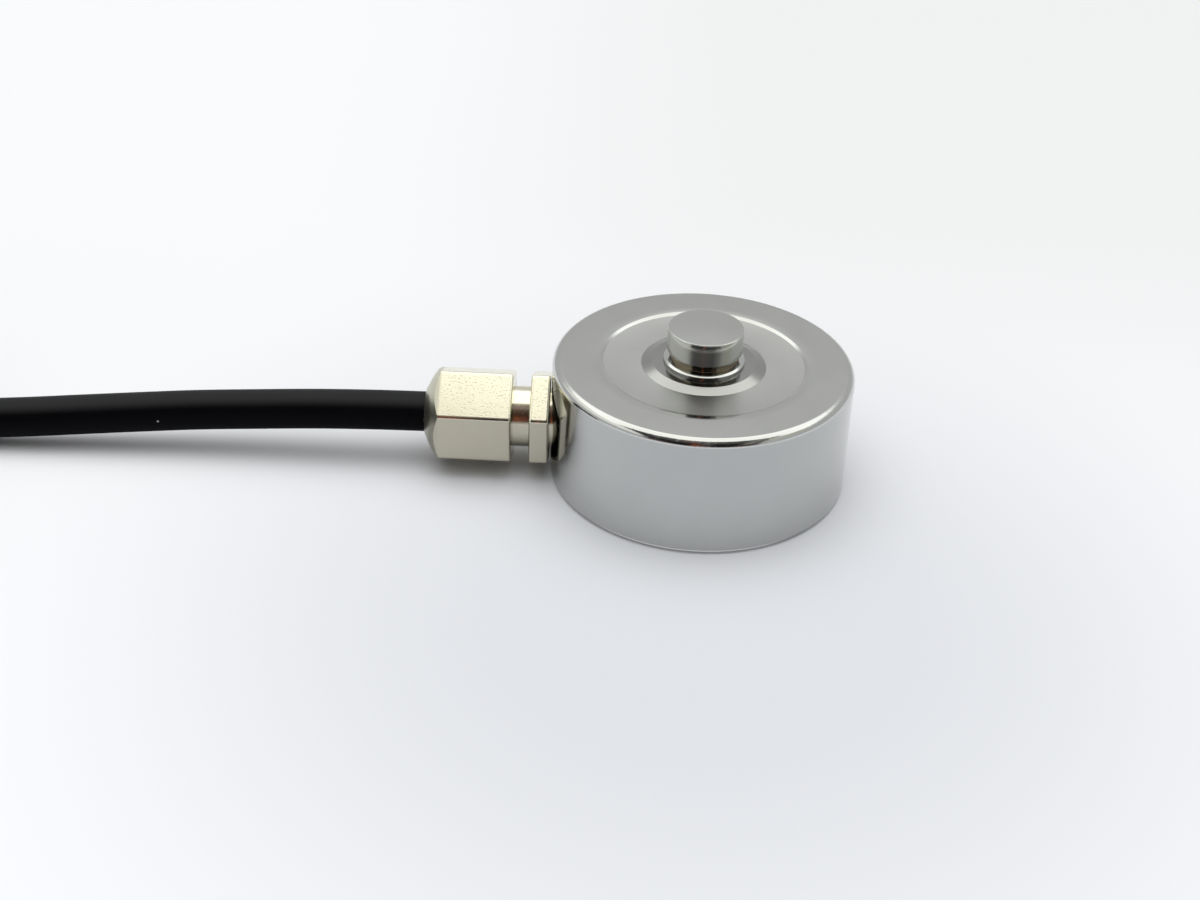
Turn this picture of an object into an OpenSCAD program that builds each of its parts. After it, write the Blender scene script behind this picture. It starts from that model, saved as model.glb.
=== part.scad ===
// Miniature button load cell: a turned steel body with a load button on its
// diaphragm, strain gauges beneath, a hexagon cable gland and its cable.
// The origin is the centre of the base, +Z points up out of the load button
// and the gland leaves along -X. Lengths are in millimetres.

/* [Body] */
// Outside diameter of the body
body_d = 20; // [18:0.5:26]
// Height of the rim above the base
body_h = 8.5; // [7.8:0.1:11]
// Rounding of the rim's outer edge
rim_round = 0.5; // [0.2:0.05:0.8]
// Chamfer round the base
base_chamfer = 0.3; // [0.1:0.05:0.5]
// Width of the flat rim outside the recess
rim_w = 3.15; // [2.8:0.05:3.6]
// Thickness of the ring wall round the cavity
wall_t = 3.2; // [3:0.05:3.6]

/* [Diaphragm] */
// Depth of the recessed face below the rim
recess_depth = 0.2; // [0.15:0.05:0.4]
// Width of the slope at the recess edge
recess_slope_w = 0.25; // [0.1:0.05:0.4]
// Diameter of the conical foot round the boss
foot_d = 8.24; // [7:0.02:9]
// Slope of the conical foot, in degrees
foot_slope = 18; // [10:1:24]
// Thickness of the diaphragm outside the foot
diaphragm_t = 1.1; // [0.8:0.05:1.3]
// Diameter of the solid hub under the diaphragm
hub_d = 4.2; // [3:0.1:5]
// Height of the hub below the diaphragm
hub_h = 0.9; // [0.4:0.1:1.2]
// Rounding at the top of the cavity wall
cavity_round = 0.6; // [0.3:0.1:0.8]

/* [Load button] */
// Diameter of the boss that carries the button
boss_d = 5.36; // [5:0.02:5.8]
// Width of the slope round the top of the boss
boss_edge_w = 0.18; // [0.1:0.02:0.3]
// Height of the slope round the top of the boss
boss_edge_h = 0.09; // [0.05:0.01:0.15]
// Diameter of the undercut neck
neck_d = 4.3; // [3.2:0.1:4.5]
// Height of the undercut neck
neck_h = 0.59; // [0.5:0.01:1.2]
// Diameter of the load button
button_d = 4.98; // [4.6:0.02:6]
// Height of the load button
button_h = 1.6; // [1.2:0.05:2.5]
// Chamfer of the button's edges
button_chamfer = 0.1; // [0.05:0.01:0.2]

/* [Base] */
// Number of tapped holes in the base
hole_count = 3; // [3:1:3]
// Tapping diameter of the holes (M2)
hole_d = 1.6; // [1.2:0.1:1.7]
// Depth of the holes to the drill shoulder
hole_depth = 3; // [2:0.25:4]
// Distance of the hole centres in from the body's edge
hole_inset = 1.6; // [1.5:0.05:1.7]
// Thickness of the base cover
cover_t = 0.8; // [0.5:0.05:1]
// How far the cover sits above the base
cover_sink = 0.15; // [0.1:0.05:0.3]
// Width of the ledge that stops the cover
cover_ledge = 0.3; // [0.2:0.05:0.4]
// Radial play of the cover and the board
seat_play = 0.05; // [0.02:0.01:0.1]

/* [Bridge] */
// Thickness of the bridge board
board_t = 0.6; // [0.4:0.1:0.7]
// Width of the ledge that stops the board
board_ledge = 0.15; // [0.1:0.05:0.3]
// Diameter of the hole in the middle of the board
board_hole_d = 3; // [2:0.25:3.5]
// Space between the board and the cover
board_gap = 0.65; // [0.4:0.05:0.7]
// Length of a strain gauge, along the radius
gauge_l = 2.2; // [1.6:0.1:2.4]
// Width of a strain gauge
gauge_w = 1.6; // [1.2:0.1:2]
// Thickness of a strain gauge
gauge_t = 0.1; // [0.06:0.01:0.15]
// Diameter of a gauge wire
wire_d = 0.24; // [0.16:0.02:0.3]
// Spacing of the two wires of a gauge
wire_gap = 0.8; // [0.6:0.1:1]
// Length of a trimming resistor
resistor_l = 1.6; // [1:0.1:1.8]
// Width of a trimming resistor
resistor_w = 0.8; // [0.5:0.1:0.9]
// Height of a trimming resistor
resistor_h = 0.5; // [0.3:0.05:0.6]

/* [Gland] */
// Height of the gland's axis above the base
gland_z = 3.6; // [3.5:0.05:4]
// Width of both hexagons across their flats
hex_af = 5.9; // [5:0.1:6]
// Turn of the tightened hexagons from corner up
hex_turn = 4.6; // [0:0.2:15]
// Thickness of the hexagon flange
flange_t = 1.3; // [1:0.1:2]
// Stand-off of the flange from the body's side
flange_gap = 0.05; // [0.02:0.01:0.1]
// Diameter of the gland's thread
thread_d = 4; // [3.9:0.05:4.1]
// Radial play of the thread
thread_play = 0.02; // [0.01:0.01:0.03]
// Diameter of the plain neck between flange and nut
collar_d = 4.1; // [4.05:0.05:4.4]
// Length of the plain neck between flange and nut
collar_l = 1.2; // [0.8:0.1:2]
// Length of thread inside the nut
engage_l = 2.8; // [2:0.1:3]
// Length of the nut's hexagon
nut_l = 4.8; // [4.6:0.1:7]
// Length of the nut's cone
cone_l = 1.1; // [0.9:0.05:1.5]
// Diameter of the cone's small end
cone_d = 3.16; // [3.1:0.02:3.4]
// How far the cone's outline stands out in its middle
cone_bulge = 0.1; // [0:0.02:0.15]
// Length of the rubber seal
seal_l = 1.5; // [1:0.1:1.6]
// Thickness of the clamping washer
washer_t = 0.3; // [0.2:0.05:0.4]
// Radial play between the cable and the gland
cable_play = 0.08; // [0.05:0.01:0.1]

/* [Cable] */
// Outside diameter of the cable
cable_d = 2.7; // [2.5:0.05:2.75]
// Diameter of a conductor's insulation
core_d = 0.8; // [0.6:0.05:0.9]
// Diameter of a conductor's bare strands
strand_d = 0.44; // [0.3:0.02:0.5]
// Length of bare strand at a lead's end
strand_l = 5; // [3:0.5:8]
// Length of the free leads
lead_l = 28; // [20:1:30]

/* [Hank] */
// Length of the straight runs of the wound cable
run_l = 48; // [40:1:54]
// Radius of the innermost fold, on the cable's centre
fold_r = 8.1; // [8:0.1:11]
// Turns side by side
hank_columns = 3; // [3:1:4]
// Layers of turns
hank_layers = 4; // [3:1:5]
// Space between neighbouring turns
turn_gap = 0.05; // [0:0.05:0.2]
// Width of a tie
tie_w = 3; // [2:0.5:4]
// Thickness of a tie
tie_t = 0.4; // [0.3:0.05:0.6]
// Space between a tie and the wound cable
tie_play = 0.05; // [0:0.05:0.1]
// Length of a tie's twisted end
twist_l = 12; // [8:1:16]
// Width of the strips that are twisted together
twist_w = 1.35; // [1:0.05:2]
// Thickness of the two strips together
twist_t = 0.78; // [0.6:0.02:1]
// Height of the twisted end's middle above the loop
twist_rise = 0.7; // [0.6:0.05:1]
// Length over which the strips rise from the loop
twist_root = 1; // [0.5:0.1:1.5]

/* [Hidden] */
$fn = 96;
tiny = 0.01;

// Body heights and radii
body_r = body_d / 2;
recess_r = body_r - rim_w;
cavity_r = body_r - wall_t;
boss_r = boss_d / 2;
floor_z = body_h - recess_depth;
foot_r = foot_d / 2;
foot_top = floor_z + (foot_r - boss_r) * tan(foot_slope);
cavity_top = floor_z - diaphragm_t;
boss_top = foot_top + boss_edge_h;
neck_top = boss_top + neck_h;
button_top = neck_top + button_h;

// Seats of the cover and the board, from the base up
cover_top = cover_sink + cover_t;
board_base = cover_top + board_gap;
board_top = board_base + board_t;
board_seat_r = cavity_r + board_ledge;
cover_seat_r = board_seat_r + cover_ledge;

// Gauges lie in the flat ring inside the cavity's rounding
gauge_edge = 0.1;
gauge_r = cavity_r - cavity_round - gauge_edge - gauge_l / 2;

// Stations along the gland's axis, out from the body's axis
stub_end = cavity_r + 0.2;
flange_face = body_r + flange_gap;
flange_end = flange_face + flange_t;
nut_face = flange_end + collar_l;
thread_end = nut_face + engage_l;
seal_face = thread_end + 0.05;
washer_face = seal_face + seal_l;
chamber_end = washer_face + washer_t;
hex_end = nut_face + nut_l;
gland_end = hex_end + cone_l;
hex_r = hex_af / (2 * cos(30));
thread_r = thread_d / 2;
cable_r = cable_d / 2;
gland_bore_r = cable_r + cable_play;

// The sheath stops just inside the cavity, above the board
sheath_end = cavity_r - 0.4;
core_r = core_d / 2;
core_offset = core_r + 0.03;
core_steps = 4;
core_lead = 0.3;
core_drop_l = 2.2;
core_pad_l = 0.6;
pad_x = sheath_end - core_lead - core_drop_l - core_pad_l;

// The outer pads stop short of the gauge wires and the inner pads share the rest
core_wire_gap = 0.33;
wire_side_y = (gauge_r - wire_gap / 2) * sin(45);
outer_pad_y = wire_side_y - wire_d / 2 - core_r - core_wire_gap;
inner_pad_y = outer_pad_y * 3 / 8;

// The wound cable
hank_x = -68.5;
hank_y = -5;
turn_pitch = cable_d + turn_gap;
hank_in = fold_r - cable_r;
outer_turn_r = fold_r + (hank_columns - 1) * turn_pitch;
hank_out = outer_turn_r + cable_r;
hank_base = tie_t;
hank_h = hank_layers * turn_pitch - turn_gap;
hank_top = hank_base + hank_h;
arrive_r = 11;
arrive_y = -0.7;
arrive_dy = arrive_y + arrive_r - hank_y;
arrive_dx = sqrt(pow(arrive_r + outer_turn_r, 2) - pow(arrive_dy, 2));
arrive_x = hank_x + arrive_dx;
touch_angle = atan2(arrive_dy, arrive_dx);
lead_in_angle = 34;
cable_stop_angle = 90 - touch_angle - lead_in_angle;
bay_inset = 13;
bay_x = hank_x - run_l + bay_inset;
tie_inset = 6;
tie_near_x = bay_x - tie_inset;
tie_far_x = hank_x - run_l / 2;

// Free run of the cable, from the gland down to the wound cable
route = [
    [-gland_end, 0, gland_z],
    [-22, -0.1, 3.6],
    [-26, -0.1, 3.45],
    [-30, -0.1, 3.2],
    [-34, -0.15, 2.95],
    [-38, -0.3, 2.65],
    [-42, -0.5, 2.35],
    [-46, -0.7, 2.05],
    [-49, -0.7, 1.85],
    [arrive_x - arrive_r * sin(cable_stop_angle),
     arrive_y + arrive_r * (1 - cos(cable_stop_angle)),
     hank_base + cable_r]
];

// A closed round tube swept along points
function unit(v) = v / norm(v);
function heading(p, i) = unit(p[min(i + 1, len(p) - 1)] - p[max(i - 1, 0)]);
function across(t) = unit(cross([0, 0, 1], t));
function ring(p, t, r, n) = [
    for (k = [0 : n - 1])
        let (s = across(t), u = cross(t, s))
            p + r * (cos(360 * (k + 0.5) / n) * s + sin(360 * (k + 0.5) / n) * u)
];

module swept_tube(p, r, start, stop, n = 8) {
    last = len(p) - 1;
    rings = [
        for (i = [0 : last])
            each ring(p[i], i == 0 ? start : i == last ? stop : heading(p, i), r, n)
    ];
    sides = [
        for (i = [0 : last - 1], k = [0 : n - 1])
            let (a = i * n + k, b = i * n + (k + 1) % n)
                each [[a, a + n, b + n], [a, b + n, b]]
    ];
    caps = [
        [for (k = [0 : n - 1]) k],
        [for (k = [n - 1 : -1 : 0]) last * n + k]
    ];
    polyhedron(rings, concat(sides, caps), convexity = 4);
}

// Local Z becomes the gland's axis, out along -X, with local X up
module on_gland() {
    translate([0, 0, gland_z]) rotate([0, -90, 0]) children();
}

// Turned blank: rounded rim, chamfered base and the stepped load button
module body_blank() {
    difference() {
        union() {
            square([body_r - rim_round, body_h]);
            square([body_r, body_h - rim_round]);
            translate([body_r - rim_round, body_h - rim_round]) circle(rim_round);
            button_outline();
        }
        translate([body_r - base_chamfer, 0])
            polygon([[0, -tiny], [base_chamfer + tiny, -tiny],
                     [base_chamfer + tiny, base_chamfer]]);
    }
}

// Conical foot, boss, undercut neck and load button
module button_outline() {
    c = button_chamfer;
    button_r = button_d / 2;
    polygon([
        [0, 0], [foot_r, 0], [foot_r, floor_z], [boss_r, foot_top],
        [boss_r - boss_edge_w, boss_top], [neck_d / 2, boss_top], [neck_d / 2, neck_top],
        [button_r - c / 2, neck_top], [button_r, neck_top + c / 2],
        [button_r, button_top - c], [button_r - c, button_top], [0, button_top]
    ]);
}

// Recessed face, with a slope at its edge, round the foot of the boss
module face_cut() {
    difference() {
        polygon([
            [0, floor_z], [recess_r - recess_slope_w, floor_z], [recess_r, body_h],
            [recess_r, body_h + tiny], [0, body_h + tiny]
        ]);
        button_outline();
    }
}

// Cavity under the diaphragm, round its hub, with the two seats below it
module cavity_cut() {
    difference() {
        union() {
            square([cavity_r, cavity_top - cavity_round]);
            square([cavity_r - cavity_round, cavity_top]);
            translate([cavity_r - cavity_round, cavity_top - cavity_round])
                circle(cavity_round);
        }
        translate([0, cavity_top - hub_h]) square([hub_d / 2, hub_h + tiny]);
    }
    square([board_seat_r, board_top]);
    translate([0, -tiny]) square([cover_seat_r, cover_top + tiny]);
}

module base_holes() {
    for (i = [0 : hole_count - 1])
        rotate([0, 0, 360 * i / hole_count])
            translate([body_r - hole_inset, 0, -tiny]) {
                cylinder(h = hole_depth + tiny, d = hole_d, $fn = 48);
                translate([0, 0, hole_depth])
                    cylinder(h = hole_d * 0.3, d1 = hole_d, d2 = 0, $fn = 48);
            }
}

module sensor_body() {
    color("silver")
    difference() {
        rotate_extrude() difference() {
            body_blank();
            face_cut();
            cavity_cut();
        }
        base_holes();
        on_gland() translate([0, 0, cavity_r / 2])
            cylinder(h = body_r, r = thread_r + thread_play);
    }
}

module base_cover() {
    color("gainsboro")
    translate([0, 0, cover_sink]) cylinder(h = cover_t, r = cover_seat_r - seat_play);
}

module strain_gauge(i) {
    color("peru")
    rotate([0, 0, 45 + 90 * i])
        translate([gauge_r - gauge_l / 2, -gauge_w / 2, cavity_top - gauge_t])
            cube([gauge_l, gauge_w, gauge_t]);
}

module gauge_wires() {
    color("sienna")
    for (i = [0 : 3], side = [-1, 1])
        rotate([0, 0, 45 + 90 * i])
            translate([gauge_r, side * wire_gap / 2, board_top])
                cylinder(h = cavity_top - gauge_t - board_top, d = wire_d, $fn = 24);
}

module bridge_board() {
    color("darkgreen")
    difference() {
        translate([0, 0, board_base]) cylinder(h = board_t, r = board_seat_r - seat_play);
        translate([0, 0, board_base - tiny])
            cylinder(h = board_t + 2 * tiny, d = board_hole_d, $fn = 48);
    }
}

module trim_resistors() {
    color("black")
    for (i = [-1 : 1])
        rotate([0, 0, 25 * i])
            translate([cavity_r - resistor_w - 2, -resistor_l / 2, board_top])
                cube([resistor_w, resistor_l, resistor_h]);
}

// A conductor that spreads and sinks from the sheath's end onto its pad; side
// and level say which quarter of the sheath it comes from
module core(side, level, shade) {
    y = side * core_offset;
    z = gland_z + level * core_offset;
    pad_y = side * (level > 0 ? outer_pad_y : inner_pad_y);
    lie_z = board_top + core_r;
    bend = [
        for (i = [0 : core_steps])
            let (a = 90 * i / core_steps)
                [-sheath_end + core_lead + core_drop_l * i / core_steps,
                 y + (pad_y - y) * sin(a), z + (lie_z - z) * (1 - cos(a))]
    ];
    color(shade)
    swept_tube(
        concat([[-sheath_end, y, z]], bend, [[-pad_x, pad_y, lie_z]]),
        core_r, [1, 0, 0], [1, 0, 0]
    );
}

module hexagon(h) {
    rotate([0, 0, -hex_turn]) cylinder(h = h, r = hex_r, $fn = 6);
}

module gland_body() {
    color("wheat")
    on_gland() difference() {
        union() {
            translate([0, 0, stub_end]) cylinder(h = thread_end - stub_end, r = thread_r);
            translate([0, 0, flange_face]) hexagon(flange_t);
            translate([0, 0, flange_end]) cylinder(h = collar_l, d = collar_d);
        }
        translate([0, 0, stub_end - tiny])
            cylinder(h = thread_end - stub_end + 2 * tiny, r = gland_bore_r);
    }
}

module gland_nut() {
    // The cone meets the hexagon's corners and runs on past them
    foot = [hex_r, hex_end];
    top = [cone_d / 2, gland_end];
    middle = (foot + top) / 2 + [0, cone_bulge];
    brim = foot + (foot - middle) / 4;
    color("wheat")
    on_gland() difference() {
        intersection() {
            translate([0, 0, nut_face]) hexagon(nut_l + cone_l);
            rotate_extrude()
                polygon([[0, nut_face], [brim[0], nut_face], brim, middle, top, [0, gland_end]]);
        }
        translate([0, 0, nut_face - tiny])
            cylinder(h = chamber_end - nut_face + tiny, r = thread_r + thread_play);
        translate([0, 0, nut_face])
            cylinder(h = gland_end - nut_face + tiny, r = gland_bore_r);
    }
}

module gland_seal() {
    color("dimgray")
    on_gland() translate([0, 0, seal_face]) difference() {
        cylinder(h = seal_l, r = thread_r);
        translate([0, 0, -tiny]) cylinder(h = seal_l + 2 * tiny, r = cable_r);
    }
}

module gland_washer() {
    color("goldenrod")
    on_gland() translate([0, 0, washer_face]) difference() {
        cylinder(h = washer_t, r = thread_r);
        translate([0, 0, -tiny]) cylinder(h = washer_t + 2 * tiny, r = gland_bore_r);
    }
}

module cable_entry() {
    color("black")
    on_gland() translate([0, 0, sheath_end]) cylinder(h = gland_end - sheath_end, r = cable_r);
}

module cable() {
    stop = 180 - cable_stop_angle;
    color("black") swept_tube(route, cable_r, [-1, 0, 0], [cos(stop), sin(stop), 0]);
}

module hank_outline(r) {
    translate([hank_x, hank_y]) circle(r);
    translate([hank_x - run_l, hank_y]) circle(r);
    translate([hank_x - run_l, hank_y - r]) square([run_l, 2 * r]);
}

// The curved stretch on which the cable joins the outer turn
module lead_in() {
    reach = 2 * arrive_r;
    translate([arrive_x, arrive_y + arrive_r]) intersection() {
        difference() {
            circle(arrive_r + cable_r);
            circle(arrive_r - cable_r);
        }
        rotate(180 + touch_angle) polygon([
            [0, 0], [reach, 0],
            [reach * cos(lead_in_angle), reach * sin(lead_in_angle)]
        ]);
    }
}

module cable_hank() {
    color("black")
    difference() {
        union() {
            translate([0, 0, hank_base]) linear_extrude(hank_h) difference() {
                hank_outline(hank_out);
                hank_outline(hank_in);
            }
            translate([0, 0, hank_base]) linear_extrude(cable_d) difference() {
                lead_in();
                hank_outline(hank_in);
            }
        }
        translate([bay_x, hank_y - hank_out - tiny, hank_top - turn_pitch])
            cube([lead_l + 2, turn_pitch + tiny, turn_pitch + tiny]);
    }
}

// A twist tie round one side of the wound cable; side is -1 near and 1 far
module hank_tie(x, side) {
    w = hank_out - hank_in + 2 * tie_play;
    h = hank_h + tie_play;
    y = hank_y + side * (hank_out + hank_in) / 2;
    loop_top = h + 2 * tie_t;
    color("black")
    translate([x, y, 0]) {
        difference() {
            translate([-tie_w / 2, -w / 2 - tie_t, 0])
                cube([tie_w, w + 2 * tie_t, loop_top]);
            translate([-tie_w, -w / 2, tie_t]) cube([2 * tie_w, w, h]);
        }
        translate([tie_w / 2 - twist_root, -twist_w / 2, loop_top - tie_t / 2])
            cube([twist_root, twist_w, tie_t / 2 + twist_rise + twist_t / 2]);
        translate([tie_w / 2, 0, loop_top + twist_rise])
            rotate([0, 90, 0])
                linear_extrude(twist_l, twist = 720, slices = 24, $fn = 4)
                    square([twist_t, twist_w], center = true);
    }
}

// A free lead with its tinned end; y and z are counted from the bay's middle
module lead(y, z, r, length, shade) {
    color(shade)
    translate([bay_x, hank_y - hank_out + turn_pitch / 2 + y, hank_top - turn_pitch + z])
        rotate([0, 90, 0]) {
            cylinder(h = length - strand_l, r = r, $fn = 32);
            translate([0, 0, length - strand_l - tiny])
                cylinder(h = strand_l + tiny, d = strand_d, $fn = 32);
        }
}

lead_row = core_d + 0.05;
lead_up = core_r + core_d * 0.9;

sensor_body();
base_cover();
strain_gauge(0);  // strain_gauge_1
strain_gauge(1);  // strain_gauge_2
strain_gauge(2);  // strain_gauge_3
strain_gauge(3);  // strain_gauge_4
gauge_wires();
bridge_board();
trim_resistors();
core(1, 1, "red");  // core_red
core(1, -1, "dimgray");  // core_black
core(-1, -1, "green");  // core_green
core(-1, 1, "white");  // core_white
gland_body();
gland_nut();
gland_seal();
gland_washer();
cable_entry();
cable();
cable_hank();
hank_tie(tie_near_x, -1);  // hank_tie_near
hank_tie(tie_far_x, 1);  // hank_tie_far
lead(-lead_row, core_r, core_r, lead_l, "red");  // lead_red
lead(0, core_r, core_r, lead_l - 2, "dimgray");  // lead_black
lead(lead_row, core_r, core_r, lead_l - 1, "green");  // lead_green
lead(-lead_row / 2, lead_up, core_r, lead_l - 3, "white");  // lead_white
lead(lead_row / 2, lead_up, core_r, lead_l - 4, "silver");  // lead_shield
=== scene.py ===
# %% [markdown]
# # A button load cell, finished in Blender
#
# A button load cell is a small turned steel disc with a load button in the middle
# of its top face, a hexagon cable gland on its side and a thin black cable. The
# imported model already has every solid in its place. This lesson keeps that frame
# and gives each visible piece the fine shape and the finish that a render needs.
# Lengths are written in millimetres and turned into metres by one helper, because
# small whole numbers are easier to check against a drawing.

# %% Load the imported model
import math

import bmesh
import bpy
from mathutils import Matrix, Vector
from mathutils.geometry import interpolate_bezier


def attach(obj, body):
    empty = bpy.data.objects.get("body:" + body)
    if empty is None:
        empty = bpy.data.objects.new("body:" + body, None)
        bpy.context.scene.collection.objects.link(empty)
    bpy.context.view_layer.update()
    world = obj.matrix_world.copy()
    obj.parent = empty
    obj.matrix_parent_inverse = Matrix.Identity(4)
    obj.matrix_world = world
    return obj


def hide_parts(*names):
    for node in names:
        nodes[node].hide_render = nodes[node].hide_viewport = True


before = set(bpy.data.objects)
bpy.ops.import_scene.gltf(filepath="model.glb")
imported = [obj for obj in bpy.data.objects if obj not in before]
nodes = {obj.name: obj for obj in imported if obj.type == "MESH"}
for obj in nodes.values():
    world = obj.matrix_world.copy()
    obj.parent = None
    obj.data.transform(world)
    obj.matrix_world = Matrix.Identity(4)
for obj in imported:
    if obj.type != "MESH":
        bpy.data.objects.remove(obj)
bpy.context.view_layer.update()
print("packed nodes:", len(nodes))

# %% Millimetres
MM = 0.001


def mm(*values):
    """Metres from millimetres: one number, or a vector of three."""
    return values[0] * MM if len(values) == 1 else Vector(values) * MM


# %% [markdown]
# ## The camera
#
# The camera comes first, since it decides how much of the cable is seen. It stands
# about 125 mm from the sensor, looks down at a little over 32 degrees and leans
# slightly to one side, as a camera held in the hand does. One matrix says all
# of it: a turn about the vertical, the tilt, the lean and the place.

# %% Place the camera
def placed(name, data):
    """An object at the origin, linked to the scene."""
    made = bpy.data.objects.new(name, data)
    bpy.context.scene.collection.objects.link(made)
    return made


CAMERA_PLACE = mm(-5.217, -105.139, 68.65)
CAMERA_YAW, CAMERA_DOWN, CAMERA_LEAN = 0.765, 32.697, 2.312
LENS, SENSOR = 54.893, 36.0

camera_data = bpy.data.cameras.new("camera")
camera_data.lens, camera_data.sensor_width = LENS, SENSOR
camera_data.sensor_fit = "HORIZONTAL"
camera_data.clip_start, camera_data.clip_end = mm(5), mm(20000)
camera = placed("camera", camera_data)
camera.matrix_world = (
    Matrix.Translation(CAMERA_PLACE)
    @ Matrix.Rotation(math.radians(CAMERA_YAW), 4, "Z")
    @ Matrix.Rotation(math.radians(90 - CAMERA_DOWN), 4, "X")
    @ Matrix.Rotation(math.radians(CAMERA_LEAN), 4, "Z")
)
bpy.context.scene.camera = camera
bpy.context.scene.view_settings.view_transform = "Standard"
print("camera at", [round(v / MM) for v in camera.location], "mm")

# %% [markdown]
# ## The path of the cable
#
# The cable leaves the gland level, sinks to the bench in one lazy curve and is then
# put away as a hank: three turns side by side, four layers high. A hank is a
# running track with two straight runs and two round folds. Only the middle turn is
# described; every other turn is the same track pushed outwards or inwards by a
# whole number of cable widths, and moved up by a whole number of layers.

# %% Sizes of the cable and the hank
CABLE_D, PITCH = 2.7, 2.75
FOLD_R, RUN, COLUMNS, LAYERS = 8.1, 48.0, 3, 4
MIDDLE_R = FOLD_R + PITCH
HANK_X, HANK_Y = -68.5, -5.0
FIRST_Z = 0.4 + CABLE_D / 2
GLAND_END, GLAND_Z = 18.45, 3.6
ARRIVE_R, ARRIVE_Y = 11.0, -0.7

arrive_dy = ARRIVE_Y + ARRIVE_R - HANK_Y
arrive_dx = math.sqrt((ARRIVE_R + MIDDLE_R + PITCH) ** 2 - arrive_dy**2)
touch = math.atan2(arrive_dy, arrive_dx)
arrive_x = HANK_X + arrive_dx
print(f"the cable turns in at x {arrive_x:.2f} mm and joins at {math.degrees(touch):.1f} degrees")

# %% One trip round the track
def track(turns):
    """Point and outward direction on the middle turn, counter-clockwise from the join."""
    fold = math.pi * MIDDLE_R
    lap = 2 * (RUN + fold)
    gone = (turns * lap + touch * MIDDLE_R) % lap
    if gone > lap - fold / 2:
        gone -= lap
    if gone < fold / 2:
        centre, angle, past = HANK_X, gone / MIDDLE_R, 0.0
    elif gone < fold / 2 + RUN:
        centre, angle, past = HANK_X, math.pi / 2, gone - fold / 2
    elif gone < fold / 2 + RUN + fold:
        centre, angle, past = HANK_X - RUN, (gone - RUN) / MIDDLE_R, 0.0
    else:
        centre, angle, past = HANK_X - RUN, 1.5 * math.pi, fold / 2 + RUN + fold - gone
    out = Vector((math.cos(angle), math.sin(angle), 0.0))
    return Vector((centre - past, HANK_Y, 0.0)) + MIDDLE_R * out, out


print("the middle turn is", round(2 * RUN + 2 * math.pi * MIDDLE_R, 1), "mm round")

# %% [markdown]
# A winder fills a layer from one side to the other and then climbs on top of it. Each
# step to the next column, and each climb, takes a fifth of a turn. The steps of one
# layer start a fifth of a turn before those of the layer below, so the cable
# never crosses itself inside the same space.

# %% Columns and layers
STEP, LAST_STRETCH = 0.2, 0.24


def timetable():
    """When each step starts, in turns, and what it does: (start, sideways, up)."""
    plan, done = [], 0.0
    for layer in range(1, LAYERS + 1):
        start = 1 - STEP * layer
        sideways = -1 if layer % 2 else 1
        for move in range(COLUMNS):
            begin = math.ceil(done - start - 1e-9) + start
            plan.append((begin, sideways if move < COLUMNS - 1 else 0, move == COLUMNS - 1))
            done = begin + STEP
    return plan


plan = timetable()
HANK_TURNS = plan[-2][0] + STEP + LAST_STRETCH


def wound(turns):
    """Where the centre of the cable is after so many turns."""
    column, layer = COLUMNS - 1.0, 0.0
    for begin, sideways, up in plan:
        part = min(max((turns - begin) / STEP, 0.0), 1.0)
        swing = math.pi / 2 * part * part * (3 - 2 * part)
        column += sideways * (1 - math.cos(swing))
        layer += math.sin(swing) if up else 0.0
    place, out = track(turns % 1.0)
    return place + out * (column - 1) * PITCH + Vector((0, 0, FIRST_Z + layer * PITCH))


print("turns in the hank:", round(HANK_TURNS, 2))

# %% [markdown]
# The free run is a short list of places that the cable passes through, joined by a
# smooth curve. A Catmull-Rom curve is a good choice here: it goes through every
# point and its direction never jumps.

# %% The free run and the whole path
ROUTE = [
    (-22, -0.1, 3.6), (-26, -0.1, 3.45), (-30, -0.1, 3.2), (-34, -0.15, 2.95),
    (-38, -0.3, 2.65), (-42, -0.5, 2.35), (-46, -0.7, 2.05), (-49, -0.7, 1.85),
]
INSIDE_GLAND, ARC_START, ARC_AIM = 3.5, 0.3, 0.45
RUN_STEPS, ARC_STEPS, STEPS_PER_TURN = 4, 8, 160


def arrival(angle):
    """A place on the arc that leads the cable into the hank."""
    return Vector((arrive_x - ARRIVE_R * math.sin(angle),
                   ARRIVE_Y + ARRIVE_R * (1 - math.cos(angle)), FIRST_Z))


def smooth_through(points, steps):
    """Points on a Catmull-Rom curve, from the second point to the last but one."""
    made = []
    for a, b, c, d in zip(points, points[1:], points[2:], points[3:]):
        made += interpolate_bezier(b, b + (c - a) / 6, c - (d - b) / 6, c, steps + 1)[:-1]
    return made + [points[-2]]


knots = [Vector((-GLAND_END + INSIDE_GLAND, 0, GLAND_Z)), Vector((-GLAND_END, 0, GLAND_Z))]
knots += [Vector(p) for p in ROUTE] + [arrival(ARC_START), arrival(ARC_AIM)]
free_run = smooth_through(knots, RUN_STEPS)
arc_turn = math.pi / 2 - touch - ARC_START
arc = [arrival(ARC_START + arc_turn * i / ARC_STEPS) for i in range(1, ARC_STEPS)]
count = round(HANK_TURNS * STEPS_PER_TURN)
hank = [wound(HANK_TURNS * i / count) for i in range(count + 1)]
cable_path = [p * MM for p in free_run + arc + hank]
cable_length = sum((b - a).length for a, b in zip(cable_path, cable_path[1:]))
print("points", len(cable_path), "length", round(cable_length, 4), "m")

# %% [markdown]
# The jacket and the leads are tubes. Each is drawn as a curve with a round bevel along
# its centreline, which is the line that a cable designer would measure, and is then
# kept as a mesh, whose box is exactly as large as the tube.

# %% Tubes
SOFT_SHARP = 40


def mesh_as_shown(piece, name):
    """A mesh of an object with its bevel or its modifiers applied."""
    shown = piece.evaluated_get(bpy.context.evaluated_depsgraph_get())
    mesh = bpy.data.meshes.new_from_object(shown)
    mesh.name = name
    return mesh


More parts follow.
